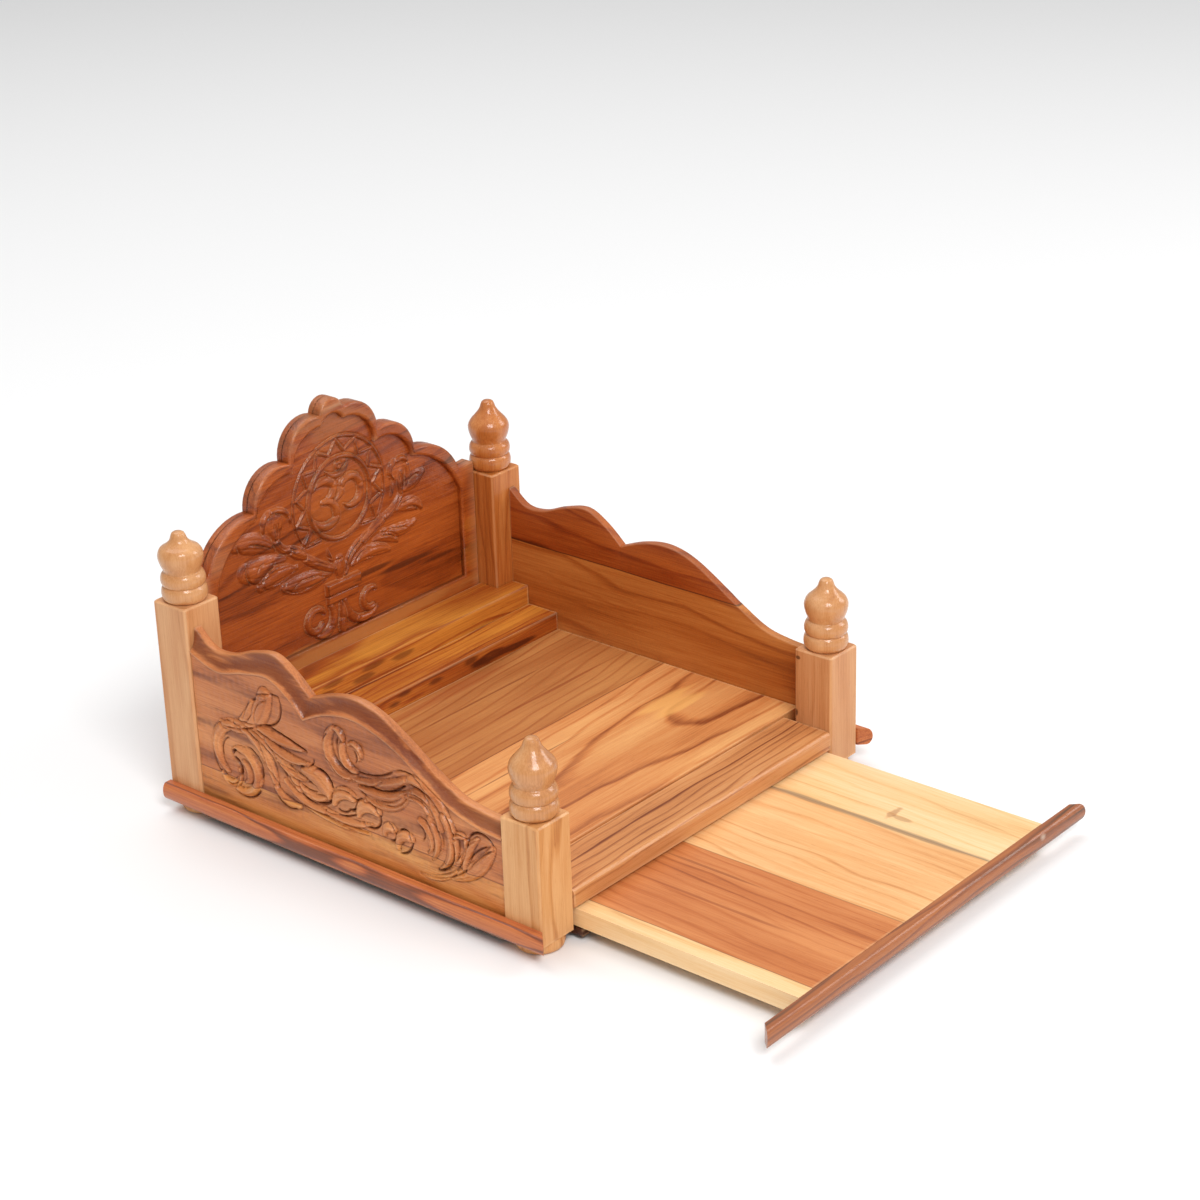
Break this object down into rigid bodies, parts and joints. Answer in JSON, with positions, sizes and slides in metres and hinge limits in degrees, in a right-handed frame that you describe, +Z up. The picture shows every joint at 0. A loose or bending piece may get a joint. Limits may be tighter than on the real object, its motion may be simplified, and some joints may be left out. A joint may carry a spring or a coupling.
{
  "type": "home temple",
  "caption": "Small carved wooden home temple with corner posts, turned finials, a lobed carved back, waved sides, a stepped platform and a pull-out tray.",
  "frame": {"origin": "on the ground, at the middle of the whole footprint with the tray pulled out as in the picture", "axes": "+Z up, -Y towards the open front where the tray pulls out, +X to the right seen from the front"},
  "size_m": [0.2744, 0.4048, 0.1986],
  "materials": {
    "wood_pale": "satin lacquer",
    "wood_tan": "satin lacquer",
    "wood_honey": "satin lacquer",
    "wood_red": "satin lacquer",
    "wood_brown": "satin lacquer",
    "wood_cream": "satin lacquer",
    "wood_dark": "matt"
  },
  "bodies": {
    "temple": {"post_front_left": "wood_pale", "post_front_right": "wood_tan", "post_back_left": "wood_honey", "post_back_right": "wood_honey", "finial_front_left": "wood_pale", "finial_front_right": "wood_tan", "finial_back_left": "wood_honey", "finial_back_right": "wood_honey", "foot_front_left": "wood_pale", "foot_front_right": "wood_pale", "foot_back_left": "wood_pale", "foot_back_right": "wood_pale", "side_panel_left": "wood_tan", "side_panel_right": "wood_tan", "back_panel": "wood_red", "floor_panel": "wood_honey", "ledge_lower": "wood_honey", "ledge_upper": "wood_honey", "front_rail": "wood_brown", "moulding_left": "wood_red", "moulding_right": "wood_red", "bottom_board": "wood_dark"},
    "tray": {"tray_board": "wood_cream", "tray_fascia": "wood_brown"}
  },
  "joints": [
    {"name": "tray_slide", "type": "slide", "parent": "temple", "child": "tray", "axis": [0, -1, 0], "range_m": [-0.133, 0.04]}
  ]
}
